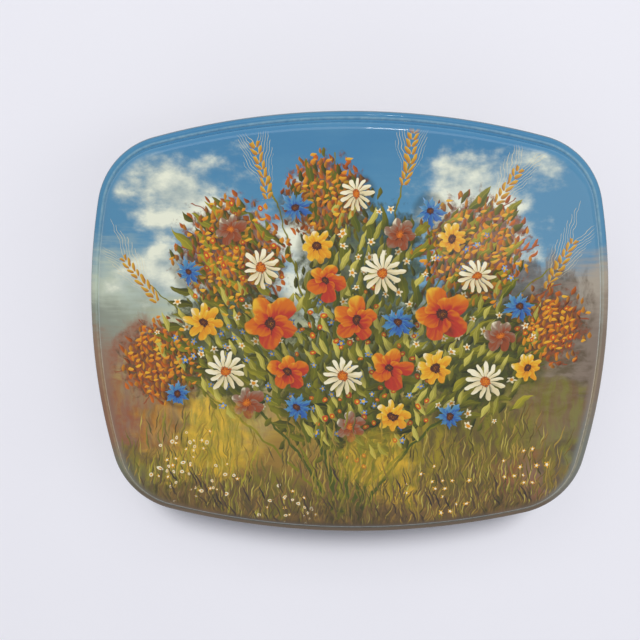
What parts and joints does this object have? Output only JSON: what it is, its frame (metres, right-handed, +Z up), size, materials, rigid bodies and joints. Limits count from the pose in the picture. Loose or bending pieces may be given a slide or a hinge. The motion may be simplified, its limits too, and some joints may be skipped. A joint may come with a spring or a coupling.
{
  "type": "lacquer box",
  "caption": "Low hinged lacquer box with bowed sides, round corners and a domed, stepped-rim painted lid over a red-lined inside.",
  "frame": {"origin": "middle of the underside, on the surface that the box stands on", "axes": "+X along the length, +Y towards the hinge at the rear, +Z up out of the lid"},
  "size_m": [0.125, 0.105, 0.0415],
  "materials": {
    "painted_lacquer": "painted ground under clear gloss lacquer",
    "black_lacquer": "polished gloss lacquer",
    "red_lacquer": "gloss lacquer",
    "brass": "drawn and lightly polished"
  },
  "bodies": {
    "base": {"base_floor": "black_lacquer", "base_wall": "black_lacquer", "base_collar": "red_lacquer", "base_hinge_leaf": "brass", "hinge_pin": "brass", "base_hinge_sprigs": "brass"},
    "lid": {"lid_wall": "black_lacquer", "lid_panel": "painted_lacquer", "lid_hinge_leaf": "brass", "lid_hinge_sprigs": "brass"}
  },
  "joints": [
    {"name": "lid_hinge", "type": "hinge", "parent": "base", "child": "lid", "pos_m": [0, 0.05, 0.026], "axis": [-1, 0, 0], "range_deg": [0, 99]}
  ]
}
